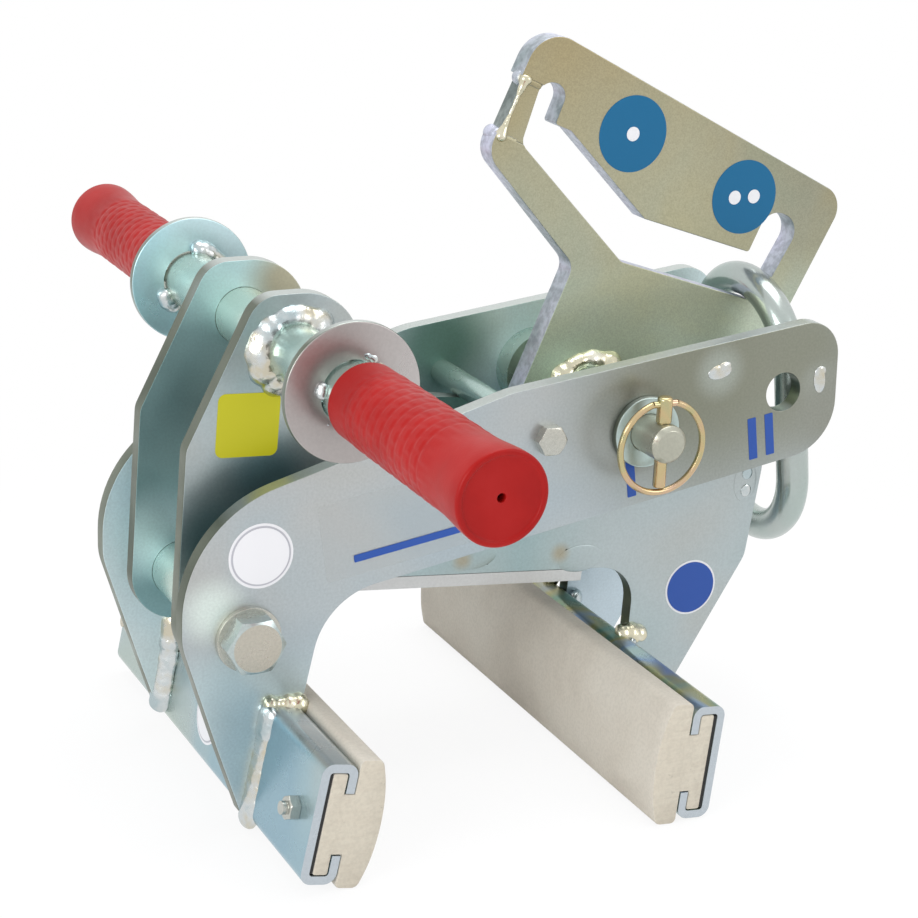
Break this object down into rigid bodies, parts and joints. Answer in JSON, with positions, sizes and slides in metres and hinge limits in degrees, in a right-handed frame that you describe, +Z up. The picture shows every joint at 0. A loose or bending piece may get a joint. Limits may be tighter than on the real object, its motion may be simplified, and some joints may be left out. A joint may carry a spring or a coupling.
{
  "type": "lifting tongs",
  "caption": "Self-clamping stone lifting tongs: nested arms on a pivot bolt, rubber padded jaws, a cross handle with grips, and a hooked suspension plate with a ring.",
  "frame": {"origin": "on the floor under the middle of the whole object's box", "axes": "+X from the left jaw to the right jaw, +Y along the handle and jaws, +Z up"},
  "size_m": [0.3618, 0.468, 0.3437],
  "materials": {
    "zinc_plate": "satin zinc plated steel",
    "zinc_tube": "satin zinc plated steel tube",
    "zinc_hardware": "bright zinc plated fasteners",
    "olive_plate": "speckled yellowish zinc plated steel",
    "weld_metal": "plated weld bead",
    "grip_rubber": "pebbled red rubber",
    "pad_rubber": "smooth cream rubber",
    "yellow_zinc": "yellow passivated wire"
  },
  "bodies": {
    "inner_frame": {"inner_plate_front": "zinc_plate", "inner_plate_rear": "zinc_plate", "tie_plate": "zinc_plate", "end_tie": "zinc_plate", "rest_plate": "zinc_plate", "pivot_sleeve": "zinc_tube", "handle_tube": "zinc_tube", "hand_guard_front": "zinc_plate", "hand_guard_rear": "zinc_plate", "grip_front": "grip_rubber", "grip_rear": "grip_rubber", "handle_welds": "weld_metal", "right_jaw_channel": "zinc_plate", "right_jaw_pad": "pad_rubber", "right_jaw_screws": "zinc_hardware", "right_jaw_welds": "weld_metal"},
    "lifting_arm": {"side_plate_front": "zinc_plate", "side_plate_rear": "zinc_plate", "pivot_bolt": "zinc_hardware", "pivot_nut": "zinc_hardware", "pivot_washers": "zinc_hardware", "stop_rod": "zinc_tube", "stop_screws": "zinc_hardware", "pin_bosses": "zinc_tube", "left_jaw_channel": "zinc_plate", "left_jaw_pad": "pad_rubber", "left_jaw_screws": "zinc_hardware", "left_jaw_welds": "weld_metal"},
    "suspension": {"suspension_plate": "olive_plate", "hook_bridge": "olive_plate", "suspension_hub": "zinc_tube", "hub_welds": "weld_metal"},
    "lifting_ring": {"lifting_ring": "zinc_hardware"},
    "suspension_pin_set": {"suspension_pin": "zinc_hardware", "pin_washer": "zinc_hardware", "linch_pin": "yellow_zinc"},
    "linch_ring": {"linch_ring": "yellow_zinc"}
  },
  "joints": [
    {"name": "arm_swing", "type": "hinge", "parent": "inner_frame", "child": "lifting_arm", "pos_m": [-0.15085, 0, 0.0946], "axis": [0, -1, 0], "range_deg": [0, 20]},
    {"name": "suspension_swing", "type": "hinge", "parent": "lifting_arm", "child": "suspension", "pos_m": [0.04415, 0, 0.1696], "axis": [0, -1, 0], "range_deg": [0, 30]},
    {"name": "ring_swing", "type": "hinge", "parent": "suspension", "child": "lifting_ring", "pos_m": [0.1339, 0, 0.22081], "axis": [0, -1, 0], "range_deg": [0, 45]},
    {"name": "pin_turn", "type": "hinge", "parent": "lifting_arm", "child": "suspension_pin_set", "pos_m": [0.04415, 0, 0.1696], "axis": [0, -1, 0], "continuous": true},
    {"name": "linch_ring_flip", "type": "hinge", "parent": "suspension_pin_set", "child": "linch_ring", "pos_m": [0.04415, -0.076, 0.1873], "axis": [-1, 0, 0], "range_deg": [0, 150]}
  ]
}
